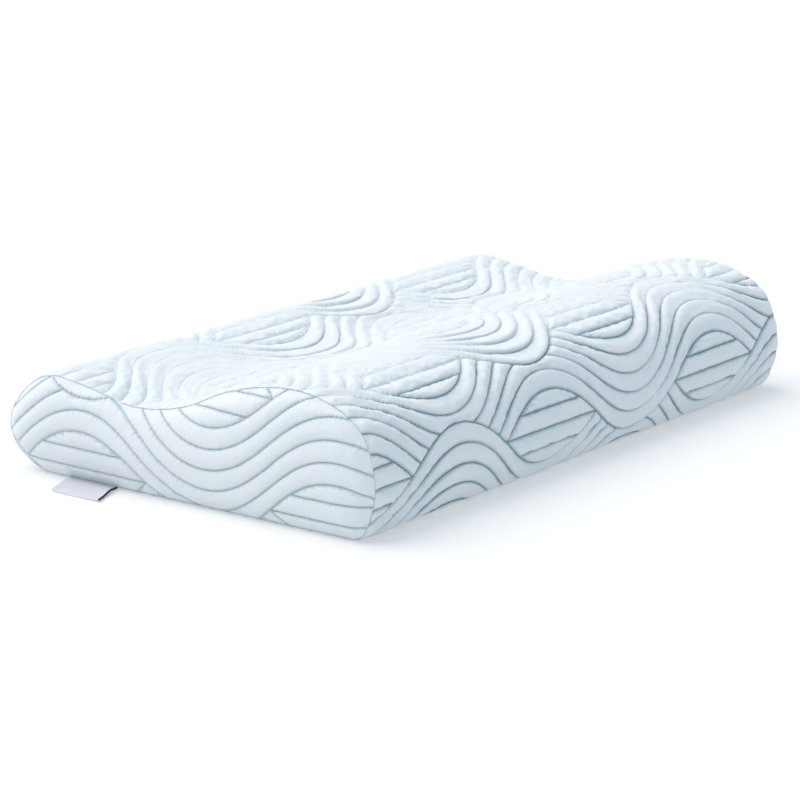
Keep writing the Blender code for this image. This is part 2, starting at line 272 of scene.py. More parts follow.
def outline_curve():
    """Points round a cross-section, from the middle of the underside towards -Y."""
    marks = [np.array((y, z)) / 1000 for _name, y, z in OUTLINE]
    before = marks[0] + (FOOT_REACH, 0)
    after = marks[-1] - (FOOT_REACH, 0)
    chain = [before] + marks + [after]
    curve = [np.array((0.0, 0.0))]
    for a, b, c, d in zip(chain, chain[1:], chain[2:], chain[3:]):
        for t in np.linspace(0, 1, SPAN_POINTS, endpoint=False):
            curve.append(0.5 * (2 * b + (c - a) * t + (2 * a - 5 * b + 4 * c - d) * t**2
                                + (3 * b - a - 3 * c + d) * t**3))
    curve += [marks[-1], np.array((0.0, 0.0))]
    curve = np.array(curve)
    curve[:, 1] = np.maximum(curve[:, 1], 0.0)
    run = np.concatenate(([0], np.cumsum(np.linalg.norm(np.diff(curve, axis=0), axis=1))))
    places = np.linspace(0, run[-1], int(run[-1] / OUTLINE_STEP) + 1)
    return np.column_stack([np.interp(places, run, curve[:, i]) for i in (0, 1)]), places


CURVE, CURVE_RUN = outline_curve()
GIRTH = CURVE_RUN[-1]
BAND_STEP = GIRTH / BANDS
BAND_WIDTH = CHANNELS * PITCH


def outline_at(v):
    """The outline's point and outward direction at the distance v round it."""
    def point(w):
        w = np.mod(w, GIRTH)
        return np.column_stack([np.interp(w, CURVE_RUN, CURVE[:, i]) for i in (0, 1)])
    along = point(v + OUT_REACH) - point(v - OUT_REACH)
    out = np.column_stack((along[:, 1], -along[:, 0]))
    out /= np.linalg.norm(out, axis=1)[:, None]
    out *= np.sign(np.sum(out * (point(v) - OUTLINE_HEART), axis=1))[:, None]
    return point(v), out


# The quilting's lines, in cloth space: u along a wave and v across it

def band_middle(k, u):
    turn = 2 * math.pi * (u / WAVE - 0.5 * (k % 2))
    return BAND_STEP * k + SWING * np.tanh(FLATTEN * np.sin(turn)) / math.tanh(FLATTEN)


def in_band(k, u, v):
    return np.abs(v - band_middle(k, u)) < BAND_WIDTH / 2 - TINY


def lies_over(k, u):
    """Whether band k passes over band k - 1 at u."""
    crest = np.round(u / WAVE - 0.5 * ((k - 1) % 2) - 0.25)
    return (crest + k - 1) % 2 == 0


class Line:
    """A line of the quilting: in band k, or in the eyes between bands k and k + 1."""

    def __init__(self, k, offset, in_eye=False):
        self.k = k
        self.offset = offset
        self.in_eye = in_eye
        self.joins = []

    def v(self, u):
        if self.in_eye:
            return BAND_STEP * (self.k + 0.5) + self.offset + 0.0 * u
        return band_middle(self.k, u) + self.offset

    def hidden(self, u):
        v = self.v(u)
        if self.in_eye:
            return in_band(self.k, u, v) | in_band(self.k + 1, u, v)
        under_next = in_band(self.k + 1, u, v) & lies_over(self.k + 1, u)
        return under_next | (in_band(self.k - 1, u, v) & ~lies_over(self.k, u))

    def runs(self, first, last):
        """The stretches of u on which the line shows."""
        u = np.arange(first, last, SCAN_STEP)
        shows = ~self.hidden(u)
        turns = [first] if shows[0] else []
        for i in np.nonzero(shows[1:] != shows[:-1])[0]:
            a, b = u[i], u[i + 1]
            for _ in range(HALVINGS):
                middle = (a + b) / 2
                if bool(self.hidden(middle)) == (not shows[i]):
                    a = middle
                else:
                    b = middle
            turns.append((a + b) / 2)
        if shows[-1]:
            turns.append(last)
        return list(zip(turns[::2], turns[1::2]))

    def points(self, start, stop, step, joins=()):
        """Points along the line at about a step, with one at each join."""
        marks = [start] + sorted(u for u in joins if start < u < stop) + [stop]
        us = []
        for a, b in zip(marks, marks[1:]):
            length = math.hypot(b - a, float(self.v(b) - self.v(a)))
            us += list(np.linspace(a, b, max(1, round(length / step)), endpoint=False))
        us = np.array(us + [stop])
        return np.column_stack((us, self.v(us)))


def quilting_lines(lowest, highest, in_bands, in_eyes):
    """Lines at the given pitches in every band and eye between two values of v."""
    lines = []
    for k in range(math.floor(lowest / BAND_STEP) - 1, math.ceil(highest / BAND_STEP) + 2):
        lines += [Line(k, place * PITCH - BAND_WIDTH / 2) for place in in_bands]
        lines += [Line(k, place * PITCH, in_eye=True) for place in in_eyes]
    return lines


def stitch_lines(first, last, lowest, highest):
    """Stitch lines as rows of (u, v), each joined to the lines that it ends at."""
    lines = quilting_lines(lowest, highest, range(CHANNELS + 1), EYE_LINES)
    edges = [line for line in lines if not line.in_eye
             and abs(abs(line.offset) - BAND_WIDTH / 2) < TINY]
    for line in lines:
        for end in {u for run in line.runs(first, last) for u in run} - {first, last}:
            for edge in edges:
                if edge is not line and abs(edge.v(end) - line.v(end)) < JOIN:
                    edge.joins.append(end)
    return [line.points(*run, STITCH_STEP, line.joins)
            for line in lines for run in line.runs(first, last)]


def side_points(first, last, lowest, highest):
    """Points of the rows beside the stitch lines."""
    points = []
    for place, step in SIDE_ROWS:
        sides = {place, 1 - place}
        in_bands = [j + side for j in range(CHANNELS) for side in sides]
        in_eyes = [j + side for j in range(EYE_LINES[0] - 1, EYE_LINES[-1] + 1) for side in sides]
        for line in quilting_lines(lowest, highest, in_bands, in_eyes):
            for start, stop in line.runs(first, last):
                points.append(line.points(start, stop, step)[1:-1])
    return np.concatenate(points)


class Stitching:
    """The stitch lines of one cloth piece, and what lies near them."""

    def __init__(self, lines):
        self.lines = lines
        marks = []
        for number, line in enumerate(lines):
            steps = np.diff(line, axis=0)
            lengths = np.linalg.norm(steps, axis=1)
            run = np.concatenate(([0], np.cumsum(lengths)))
            for i, step in enumerate(steps):
                for t in np.linspace(0, 1, max(2, int(lengths[i] / OUTLINE_STEP)), endpoint=False):
                    spot = line[i] + step * t
                    marks.append((*spot, number, run[i] + lengths[i] * t, *(step / lengths[i])))
            marks.append((*line[-1], number, run[-1], *(steps[-1] / lengths[-1])))
        self.marks = np.array(marks)
        self.tree = kdtree.KDTree(len(marks))
        for i, mark in enumerate(marks):
            self.tree.insert((mark[0], mark[1], 0), i)
        self.tree.balance()

    def away(self, points):
        """Each point's distance to the nearest stitch line."""
        return np.array([self.tree.find((u, v, 0))[2] for u, v in points])

    def relief(self, points, faces):
        """At each point: distance to the nearest stitch line, distance along that line, how much
        its thread creases the cloth there, rise of the channel from 0 to 1, and depth of the
        pucker.  A face whose corners are nearest to different lines has no crease.
        """
        found = [self.tree.find((u, v, 0)) for u, v in points]
        away = np.array([f[2] for f in found])
        rise = np.sqrt(1 - (1 - np.clip(away / CHANNEL_SIDE, 0, 1)) ** 2)
        near = self.marks[[f[1] for f in found]]
        lone = np.ones(len(points))
        for face in faces:
            if np.ptp(near[face, 2]) > 0:
                lone[face] = 0
        gone = points - near[:, :2]
        side = np.sign(near[:, 4] * gone[:, 1] - near[:, 5] * gone[:, 0])
        crease = np.array([
            noise.noise((run / PUCKER_LENGTH, number * LINE_SEED, turn * SIDE_SEED))
            for number, run, turn in zip(near[:, 2], near[:, 3], side)])
        patch = soft_noise(points, PATCH_LENGTH, PATCH_SEED)
        reach = away / PUCKER_REACH
        pucker = np.maximum(crease * PUCKER_GAIN + PUCKER_SHARE, 0)
        pucker *= np.clip(PATCH_MIDDLE + patch, *PATCH_RANGE)
        pull = np.clip(1 - away / TICK_REACH, 0, 1) * lone
        return away, near[:, 3], pull, rise, pucker * lone * reach * np.exp(1 - reach)


def triangulate(border, lines, loose):
    """Triangles inside an anticlockwise border, with the lines as edges."""
    points = [Vector(p) for p in border]
    edges = []
    for line in lines:
        start = len(points)
        points += [Vector(p) for p in line]
        edges += [(i, i + 1) for i in range(start, len(points) - 1)]
    points += [Vector(p) for p in loose]
    found = delaunay_2d_cdt(points, edges, [list(range(len(border)))], 0, TINY)
    faces = [face for face, inside in zip(found[2], found[5]) if inside]
    return np.array([tuple(p) for p in found[0]]), faces


def soft_noise(points, size, seed=0.0):
    """Smooth noise at each point, (x, y) or (x, y, z), with features of a given size."""
    seeds = np.full((len(points), 3 - points.shape[1]), seed)
    return np.array([noise.noise(p) for p in np.column_stack((points / size, seeds))])


def mesh_object(name, verts, faces):
    """A smooth mesh object, linked to the scene."""
    mesh = bpy.data.meshes.new(name)
    mesh.from_pydata(verts, [], faces)
    mesh.shade_smooth()
    thing = bpy.data.objects.new(name, mesh)
    bpy.context.scene.collection.objects.link(thing)
    return thing


def cloth_object(name, where, faces, cloth, stored):
    """A mesh object with its places on the flat cloth as UVs and named values stored."""
    thing = mesh_object(name, where.tolist(), faces)
    mesh = thing.data
    layer = mesh.uv_layers.new(name="cloth")
    corners = np.zeros(len(mesh.loops), np.int32)
    mesh.loops.foreach_get("vertex_index", corners)
    layer.data.foreach_set("uv", cloth[corners].astype(np.float32).ravel())
    for label, values in stored.items():
        spots = mesh.attributes.new(label, "FLOAT", "POINT")
        spots.data.foreach_set("value", values.astype(np.float32))
    return thing


def close_and_clean(thing, finish):
    """Drops stray points of an object's mesh, runs bmesh work on it and turns its faces out."""
    bm = bmesh.new()
    bm.from_mesh(thing.data)
    bmesh.ops.delete(bm, geom=[p for p in bm.verts if not p.link_faces], context="VERTS")
    finish(bm)
    bmesh.ops.triangulate(bm, faces=[f for f in bm.faces if len(f.verts) > 4])
    bmesh.ops.recalc_face_normals(bm, faces=bm.faces)
    bm.to_mesh(thing.data)
    bm.free()
    thing.data.shade_smooth()


def mesh_values(mesh, name):
    """One attribute of a mesh's points as an array."""
    values = np.zeros(len(mesh.vertices), np.float32)
    mesh.attributes[name].data.foreach_get("value", values)
    return values


def mesh_places(mesh):
    places = np.zeros(len(mesh.vertices) * 3, np.float32)
    mesh.vertices.foreach_get("co", places)
    return places.reshape(-1, 3)


def puff_up(thing):
    """Lets the cloth swell and crease between its stitch lines, by cloth simulation."""
    mesh = thing.data
    before = mesh_places(mesh)
    held = (mesh_values(mesh, "from_stitch") < STITCH_HOLD) | (before[:, 2] < FLOOR_HOLD)
    held |= mesh_values(mesh, "from_seam") < SEAM_HOLD
    pinned = thing.vertex_groups.new(name="held")
    pinned.add([int(i) for i in np.nonzero(held)[0]], 1.0, "REPLACE")
    cloth = thing.modifiers.new("cloth", "CLOTH")
    settings = cloth.settings
    settings.vertex_group_mass = "held"
    settings.quality = CLOTH_QUALITY
    settings.mass = CLOTH_MASS
    settings.tension_stiffness = CLOTH_STRETCH
    settings.compression_stiffness = CLOTH_STRETCH
    settings.shear_stiffness = CLOTH_SHEAR
    settings.bending_stiffness = CLOTH_BEND
    settings.use_pressure = True
    settings.uniform_pressure_force = CLOTH_PRESSURE
    settings.shrink_min = -CLOTH_SPARE
    settings.effector_weights.gravity = 0
    cloth.collision_settings.use_collision = False
    cloth.point_cache.frame_start = 1
    cloth.point_cache.frame_end = CLOTH_FRAMES
    for number in range(1, CLOTH_FRAMES + 1):
        bpy.context.scene.frame_set(number)
    swelled = thing.evaluated_get(bpy.context.evaluated_depsgraph_get())
    moved = mesh_places(swelled.data) - before
    thing.modifiers.remove(cloth)
    thing.vertex_groups.remove(pinned)
    bpy.context.scene.frame_set(1)
    far = np.linalg.norm(moved, axis=1)[:, None]
    moved *= np.minimum(1, MOST_SWELL / np.maximum(far, TINY))
    after = before + moved
    after[:, 2] = np.maximum(after[:, 2], 0)
    mesh.vertices.foreach_set("co", after.ravel())
    mesh.update()


def painted_light(out):
    """How much painted light makes the stitching paler, from 0 to 1, where the cloth faces in the
    directions given.
    """
    low, high = PAINTED_LIGHT_SPAN
    return smooth_step((out @ np.array(PAINTED_LIGHT_FROM) - low) / (high - low))


# The wrap panel

def strayed(points, still):
    """Cloth places moved a little, as sewing strays, by less where still is nearer to 0."""
    stray = np.column_stack([soft_noise(points, SAG_LENGTH, seed) for seed in STRAY_SEEDS])
    return points + stray * (WANDER * still)[:, None]


def on_wrap(points, rise, pucker):
    """Where the wrap panel's cloth places (u, v) are in space."""
    from_seam = LENGTH / 2 - np.abs(points[:, 0])
    points = strayed(points, smooth_step(from_seam / END_ROUND))
    place, out = outline_at(points[:, 1])
    turn = END_TURN * np.clip(1 - from_seam / END_ROUND, 0, 1)
    drawn_in = END_DRAW * (1 - np.cos(turn)) / (1 - math.cos(END_TURN))
    reach = SEAM_X - LENGTH / 2 + END_ROUND
    x = LENGTH / 2 - END_ROUND + reach * np.sin(turn) / math.sin(END_TURN)
    x = np.where(from_seam < END_ROUND, x, np.abs(points[:, 0])) * np.sign(points[:, 0])

    above = smooth_step(place[:, 1] / FLOOR_FADE)
    full = smooth_step(from_seam / END_ROUND)
    height = (UNDER_RISE + (CHANNEL_RISE - UNDER_RISE) * above) * full
    end_seed, seed = WRAP_SEAM_SEEDS
    gathers = np.array([noise.noise((v / SEAM_PUCKER_LENGTH, math.copysign(end_seed, u), seed))
                        for u, v in points])
    near_seam = from_seam / SEAM_PUCKER_REACH
    gathers = np.maximum(gathers * PUCKER_GAIN, 0) * near_seam * np.exp(1 - near_seam)
    sag = soft_noise(np.column_stack((x, place)), SAG_LENGTH) * SAG_DEPTH
    depth = drawn_in + height * (1 - rise) + PUCKER_DEPTH * pucker * above * full
    depth += (SEAM_PUCKER_DEPTH * gathers + sag * full) * above
    place = place - out * depth[:, None]
    place[:, 1] = np.maximum(place[:, 1], 0.0)
    return np.column_stack((x, place))


def build_wrap():
    lines = stitch_lines(-LENGTH / 2, LENGTH / 2, 0, GIRTH)
    lines = [line for line in lines if line[:, 1].max() > 0 and line[:, 1].min() < GIRTH]
    stitching = Stitching(lines)
    loose = side_points(-LENGTH / 2, LENGTH / 2, 0, GIRTH)
    inner = (np.abs(loose[:, 0]) < LENGTH / 2 - END_ROWS[0]) & (np.abs(loose[:, 1] - GIRTH / 2)
                                                                < GIRTH / 2 - CLEAR)
    loose = loose[inner]
    rounds = np.linspace(0, GIRTH, round(GIRTH / RIM_STEP) + 1)
    rows = np.array([(side * (LENGTH / 2 - row), v)
                     for side in (-1, 1) for row in END_ROWS for v in rounds[1:-1]])
    loose = np.concatenate((loose, rows))
    loose = loose[stitching.away(loose) > CLEAR]
    across = np.linspace(-LENGTH / 2, LENGTH / 2, round(LENGTH / RIM_STEP) + 1)
    border = [(u, 0.0) for u in across] + [(LENGTH / 2, v) for v in rounds[1:-1]]
    border += [(u, GIRTH) for u in across[::-1]] + [(-LENGTH / 2, v) for v in rounds[-2:0:-1]]
    points, faces = triangulate(border, lines, loose)
    away, along, pull, rise, pucker = stitching.relief(points, faces)
    where = on_wrap(points, rise, pucker)
    out = np.column_stack((np.zeros(len(points)), outline_at(points[:, 1])[1]))
    stored = {"from_stitch": away, "along_stitch": along, "thread_pull": pull,
              "from_seam": LENGTH / 2 - np.abs(points[:, 0]), "painted_light": painted_light(out)}
    wrap = cloth_object("quilted_wrap", where, faces, points, stored)

    def weld(bm):
        bmesh.ops.remove_doubles(bm, verts=bm.verts, dist=JOIN)
        bmesh.ops.holes_fill(bm, edges=[e for e in bm.edges if e.is_boundary], sides=0)

    close_and_clean(wrap, weld)
    return wrap, stitching


# The end panels

def end_outline():
    """The seam line of an end, as (y, z) points, anticlockwise."""
    v = np.linspace(GIRTH, 0, round(GIRTH / RIM_STEP), endpoint=False)
    place, out = outline_at(v)
    return place - out * END_DRAW


def distance_inside(points, outline):
    """How far each point is from the nearest edge of a closed outline."""
    nearest = np.full(len(points), np.inf)
    for a, b in zip(outline, np.roll(outline, -1, axis=0)):
        t = np.clip((points - a) @ (b - a) / ((b - a) @ (b - a)), 0, 1)
        nearest = np.minimum(nearest, np.linalg.norm(points - a - t[:, None] * (b - a), axis=1))
    return nearest


def on_end(side, outline, points, rise, pucker):
    """Where the end panel's places (y, z) are in space, with the channels' relief."""
    from_seam = distance_inside(points, outline)
    full = smooth_step(from_seam / END_ROUND)
    points = strayed(points, full)
    swell = (PANEL_CROWN + SEAM_LIP) * (1 - np.exp(-from_seam / PANEL_SWELL)) - SEAM_LIP
    swell += PANEL_DOME * (1 - np.exp(-from_seam / PANEL_DOME_REACH))
    gathers = soft_noise(points, SEAM_PUCKER_LENGTH, side * END_SEAM_SEED)
    near_seam = from_seam / SEAM_PUCKER_REACH
    gathers = np.maximum(gathers * PUCKER_GAIN, 0) * near_seam * np.exp(1 - near_seam)
    x = LENGTH / 2 + swell + PANEL_RISE * rise * full
    x -= PUCKER_DEPTH * pucker * full + SEAM_PUCKER_DEPTH * gathers
    return np.column_stack((side * x, points))


def build_end_panel(name, side):
    outline = end_outline()
    low, high = outline.min(axis=0), outline.max(axis=0)
    shift = np.array(END_SHIFT)
    spans = shift[0] - high[0], shift[0] - low[0], low[1] + shift[1], high[1] + shift[1]

    def laid(rows):
        return np.column_stack((shift[0] - rows[:, 0], rows[:, 1] - shift[1]))

    stitching = Stitching([laid(line) for line in stitch_lines(*spans)])
    loose = laid(side_points(*spans))
    loose = loose[distance_inside(loose, outline) > CLEAR]
    inner = []
    for row in END_ROWS[:-2]:
        place, out = outline_at(np.linspace(0, GIRTH, round(GIRTH / RIM_STEP), endpoint=False))
        inner.append(place - out * (END_DRAW + row))
    loose = np.concatenate([loose] + inner)
    loose = loose[stitching.away(loose) > CLEAR]
    points, faces = triangulate(outline, stitching.lines, loose)
    away, along, pull, rise, pucker = stitching.relief(points, faces)
    where = on_end(side, outline, points, rise, pucker)
    # Painted light on the end panel's stitching: paler towards the low lobe, the side that the key
    # light comes from
    stored = {"from_stitch": away, "along_stitch": along, "thread_pull": pull,
              "from_seam": distance_inside(points, outline),
              "painted_light": END_PAINTED_LIGHT + END_PAINTED_LIGHT_GAIN * points[:, 0]}
    panel = cloth_object(name, where, faces, points, stored)

    def back(bm):
        rim = [e for e in bm.edges if e.is_boundary]
        for item in bmesh.ops.extrude_edge_only(bm, edges=rim)["geom"]:
            if isinstance(item, bmesh.types.BMVert):
                item.co.x = side * PANEL_BACK
        bmesh.ops.holes_fill(bm, edges=[e for e in bm.edges if e.is_boundary], sides=0)

    close_and_clean(panel, back)
    return panel, stitching


# The thread

def stitches(name, rows, width):
    """Thread stitches along rows of (place, outward direction, share of painted light), as one
    mesh.
    """
    turns = np.arange(THREAD_SIDES) * 2 * math.pi / THREAD_SIDES
    per = len(STITCH_RINGS) * THREAD_SIDES
    verts, faces, pale = [], [], []
    for place, out, paler in rows:
        run = np.concatenate(([0], np.cumsum(np.linalg.norm(np.diff(place, axis=0), axis=1))))
        count = int(run[-1] / (THREAD_STITCH + THREAD_GAP))
        if run[-1] < THREAD_SHORTEST:
            continue
        middles = (np.arange(count) + 0.5) * run[-1] / count
        at = np.column_stack([np.interp(middles, run, place[:, i]) for i in range(3)])
        up = np.column_stack([np.interp(middles, run, out[:, i]) for i in range(3)])
        ends = [np.column_stack([np.interp(middles + half, run, place[:, i]) for i in range(3)])
                for half in (-THREAD_STITCH / 2, THREAD_STITCH / 2)]
        along = ends[1] - ends[0]
        along /= np.linalg.norm(along, axis=1)[:, None]
        up -= along * np.sum(up * along, axis=1)[:, None]
        up /= np.linalg.norm(up, axis=1)[:, None]
        aside = np.cross(along, up)
        length = run[-1] / count - THREAD_GAP
        start = len(verts)
        shape = []
        for forth, size, lift in STITCH_RINGS:
            centre = at + along * (forth * length) + up * (THREAD_LIFT + lift * THREAD_HEIGHT / 3)
            for turn in turns:
                shape.append(centre + aside * (math.cos(turn) * size * width / 2)
                             + up * (math.sin(turn) * size * THREAD_HEIGHT / 2))
        shape = np.stack(shape, axis=1)
        verts += shape.reshape(-1, 3).tolist()
        # Each stitch's share of painted light, stored for the thread's colour
        pale += np.repeat(np.interp(middles, run, paler), per).tolist()
        for base in range(start, start + count * per, per):
            last = base + per - THREAD_SIDES
            for ring in range(base, last, THREAD_SIDES):
                for t in range(THREAD_SIDES):
                    a = ring + t
                    b = ring + (t + 1) % THREAD_SIDES
                    faces.append((a, b, b + THREAD_SIDES, a + THREAD_SIDES))
            faces.append(tuple(reversed(range(base, base + THREAD_SIDES))))
            faces.append(tuple(range(last, last + THREAD_SIDES)))
    thing = mesh_object(name, verts, faces)
    stored = thing.data.attributes.new("painted_light", "FLOAT", "POINT")
    stored.data.foreach_set("value", pale)
    return thing


def wrap_thread(name, stitching, lowest, highest):
    """The thread of the lines whose middle is between two values of v."""
    rows = []
    for line in stitching.lines:
        inside = (line[:, 1] >= 0) & (line[:, 1] <= GIRTH)
        inside &= np.abs(line[:, 0]) < LENGTH / 2 - THREAD_END
        if inside.sum() < 2 or not lowest <= line[:, 1].mean() < highest:
            continue
        line = line[inside]
        nothing = np.zeros(len(line))
        out = np.column_stack((nothing, outline_at(line[:, 1])[1]))
        rows.append((on_wrap(line, nothing, nothing), out, painted_light(out)))
    return stitches(name, rows, THREAD_WIDTH)


def end_thread(name, side, stitching):
    outline = end_outline()
    rows = []
    for line in stitching.lines:
        steps = np.arange(len(line))
        finer = np.arange(0, len(line) - 1, THREAD_SPLIT)
        dense = np.column_stack([np.interp(finer, steps, line[:, i]) for i in (0, 1)])
        inside = np.array([within(point, outline) for point in dense])
        cuts = np.nonzero(inside[1:] != inside[:-1])[0] + 1
        for part, keep in zip(np.split(dense, cuts), np.split(inside, cuts)):
            if keep[0] and len(part) > THREAD_FEWEST:
                nothing = np.zeros(len(part))
                out = np.tile((side, 0.0, 0.0), (len(part), 1))
                rows.append((on_end(side, outline, part, nothing, nothing), out,
                             END_PAINTED_LIGHT + END_PAINTED_LIGHT_GAIN * part[:, 0]))
    return stitches(name, rows, END_THREAD_WIDTH)


def within(point, outline):
    """Whether a point is inside a closed outline."""
    a, b = outline, np.roll(outline, -1, axis=0)
    spans = (a[:, 1] > point[1]) != (b[:, 1] > point[1])
    cross = a[spans, 0] + (point[1] - a[spans, 1]) * (b[spans, 0] - a[spans, 0]) / (
        b[spans, 1] - a[spans, 1])
    return np.count_nonzero(cross > point[0]) % 2 == 1


# The label

def label_rows():
    """Points of the label's underside: a row across it for each step outwards."""
    marks = np.array(LABEL_DROP) / 1000
    outs = np.linspace(marks[0, 0], marks[-1, 0], LABEL_ROWS)
    heights = np.interp(outs, marks[:, 0], marks[:, 1])
    for _ in range(LABEL_SMOOTHING):
        heights[1:-1] = (heights[:-2] + 2 * heights[1:-1] + heights[2:]) / 4
    across = np.linspace(-LABEL_WIDTH / 2, LABEL_WIDTH / 2, LABEL_ACROSS)
    rows = []
    for out, height in zip(outs, heights):
        free = smooth_step(out / LABEL_FREE)
        curl = LABEL_CURL * (2 * across / LABEL_WIDTH) ** 4 * free
        ripple = LABEL_RIPPLE * soft_noise(
            np.column_stack((np.full(LABEL_ACROSS, out), across)), LABEL_RIPPLE_LENGTH,
            LABEL_SEED) * free
        high = np.maximum(height + curl + ripple, TINY)
        lean = LABEL_PLACE - LABEL_SKEW * out + across
        rows.append(np.column_stack((np.full(LABEL_ACROSS, -LENGTH / 2 - out), lean, high)))
    return np.array(rows)


def build_label(rows):
    """A folded satin tag that comes out of the bottom seam and droops to the floor."""
    faces = []
    for i in range(LABEL_ROWS - 1):
        for j in range(LABEL_ACROSS - 1):
            a = i * LABEL_ACROSS + j
            faces.append((a, a + 1, a + LABEL_ACROSS + 1, a + LABEL_ACROSS))
    thing = mesh_object("satin_label", rows.reshape(-1, 3).tolist(), faces)
    thick = thing.modifiers.new("thickness", "SOLIDIFY")
    thick.thickness = LABEL_THICK
    thick.offset = 1.0
    return thing


def build_label_edge(rows):
    """The dark overcast thread along the label's -Y edge."""
    middle = rows[:, 0] + (0, LABEL_EDGE / 4, LABEL_THICK / 2)
    up = np.tile((0.0, 0.0, 1.0), (len(middle), 1))
    run = np.concatenate(([0], np.cumsum(np.linalg.norm(np.diff(middle, axis=0), axis=1))))
    turns = np.arange(LABEL_EDGE_SIDES) * 2 * math.pi / LABEL_EDGE_SIDES
    aside = np.cross(np.gradient(middle, axis=0), up)
    aside /= np.linalg.norm(aside, axis=1)[:, None]
    verts, faces = [], []
    for place, across, length in zip(middle, aside, run):
        size = 1 + LABEL_EDGE_TWIST * math.sin(2 * math.pi * length / LABEL_EDGE_STITCH)
        for turn in turns:
            spot = place + across * (math.cos(turn) * size * LABEL_EDGE / 2)
            spot = spot + up[0] * (math.sin(turn) * size * (LABEL_THICK / 2 + LABEL_EDGE_OVER))
            verts.append((spot[0], spot[1], max(spot[2], TINY)))
    for i in range(len(middle) - 1):
        for j in range(LABEL_EDGE_SIDES):
            a = i * LABEL_EDGE_SIDES + j
            b = i * LABEL_EDGE_SIDES + (j + 1) % LABEL_EDGE_SIDES
            faces.append((a, b, b + LABEL_EDGE_SIDES, a + LABEL_EDGE_SIDES))
    faces.append(tuple(reversed(range(LABEL_EDGE_SIDES))))
    faces.append(tuple(range(len(verts) - LABEL_EDGE_SIDES, len(verts))))
    return mesh_object("label_edge_thread", verts, faces)


# Materials

def new_material(name, roughness):
    material = bpy.data.materials.new(name)
    material.use_nodes = True
    nodes = material.node_tree.nodes
    nodes["Principled BSDF"].inputs["Roughness"].default_value = roughness
    return material, nodes, material.node_tree.links


def stored_value(nodes, name):
    """The value of a name that is stored on the mesh's points."""
    stored = nodes.new("ShaderNodeAttribute")
    stored.attribute_name = name
    return stored.outputs["Fac"]


def pattern(nodes, links, kind, scale):
    """A noise or wave pattern fixed to the object."""
    where = nodes.new("ShaderNodeTexCoord")
    texture = nodes.new("ShaderNodeTex" + kind)
    texture.inputs["Scale"].default_value = scale
    links.new(where.outputs["Object"], texture.inputs["Vector"])
    return texture.outputs["Fac"]


def mixed(nodes, links, factor, colours):
    """A mix by a factor of two colours, each a value or another node's output."""
    mix = nodes.new("ShaderNodeMix")
    mix.data_type = "RGBA"
    links.new(factor, mix.inputs["Factor"])
    for name, colour in zip("AB", colours):
        if isinstance(colour, tuple):
            mix.inputs[name].default_value = colour
        else:
            links.new(colour, mix.inputs[name])
    return mix.outputs["Result"]


def bump_node(nodes, links, height, strength, distance):
    bump = nodes.new("ShaderNodeBump")
    bump.inputs["Strength"].default_value = strength
    bump.inputs["Distance"].default_value = distance
    links.new(height, bump.inputs["Height"])
    return bump


def cloth_material():
    """A white knit with a cool cast, a fine rib in relief, and grey-green in the grooves and at
    the seams: partly the thread's colour and partly painted shade, made paler with painted light
    where the cloth faces up.
    """
    material, nodes, links = new_material("quilted_knit", roughness=0.9)
    shader = nodes["Principled BSDF"]
    shader.inputs["Sheen Weight"].default_value = 0.25
    shader.inputs["Sheen Roughness"].default_value = 0.5

    # Painted shade: the seam crevice takes the groove colour, by its distance from the seam
    seam_shade_distance = nodes.new("ShaderNodeMath")
    seam_shade_distance.operation = "MULTIPLY_ADD"
    seam_shade_distance.inputs[1].default_value = SEAM_SHADE_FADE[0]
    seam_shade_distance.inputs[2].default_value = SEAM_SHADE_FADE[1]
    links.new(stored_value(nodes, "from_seam"), seam_shade_distance.inputs[0])
    near = nodes.new("ShaderNodeMath")
    near.operation = "MINIMUM"
    links.new(stored_value(nodes, "from_stitch"), near.inputs[0])
    links.new(seam_shade_distance.outputs["Value"], near.inputs[1])
    # Painted shade: near a stitch line or a seam, the cloth's colour goes over to the groove's
    # darker grey-green
    groove = nodes.new("ShaderNodeMapRange")
    groove.inputs["From Min"].default_value = GROOVE_FADE[0]
    groove.inputs["From Max"].default_value = GROOVE_FADE[1]
    links.new(near.outputs["Value"], groove.inputs["Value"])
    # Painted light: the groove colour is mixed paler where the cloth faces up
    painted_groove = mixed(nodes, links, stored_value(nodes, "painted_light"), (GROOVE_THREAD_AND_SHADE, GROOVE_PAINTED_LIT))
    knit = mixed(nodes, links, pattern(nodes, links, "Noise", KNIT_SCALE), KNIT_COLOURS)
    colour = mixed(nodes, links, groove.outputs["Result"], (painted_groove, knit))
    links.new(colour, shader.inputs["Base Color"])

    cloth = nodes.new("ShaderNodeUVMap")
    cloth.uv_map = "cloth"
    rib = nodes.new("ShaderNodeTexWave")
    rib.inputs["Scale"].default_value = RIB_SCALE
    rib.inputs["Distortion"].default_value = 1.5
    rib.inputs["Detail"].default_value = 1
    links.new(cloth.outputs["UV"], rib.inputs["Vector"])
    ribs = bump_node(nodes, links, rib.outputs["Fac"], strength=0.35, distance=RIB_DEPTH)
    tick = nodes.new("ShaderNodeTexNoise")
    tick.noise_dimensions = "1D"
    tick.inputs["Scale"].default_value = TICK_SCALE
    tick.inputs["Detail"].default_value = 1
    links.new(stored_value(nodes, "along_stitch"), tick.inputs["W"])
    depth = nodes.new("ShaderNodeMath")
    depth.operation = "MULTIPLY"
    links.new(tick.outputs["Fac"], depth.inputs[0])
    links.new(stored_value(nodes, "thread_pull"), depth.inputs[1])
    ticks = bump_node(nodes, links, depth.outputs["Value"], strength=0.8, distance=TICK_DEPTH)
    links.new(ribs.outputs["Normal"], ticks.inputs["Normal"])
    links.new(ticks.outputs["Normal"], shader.inputs["Normal"])
    return material


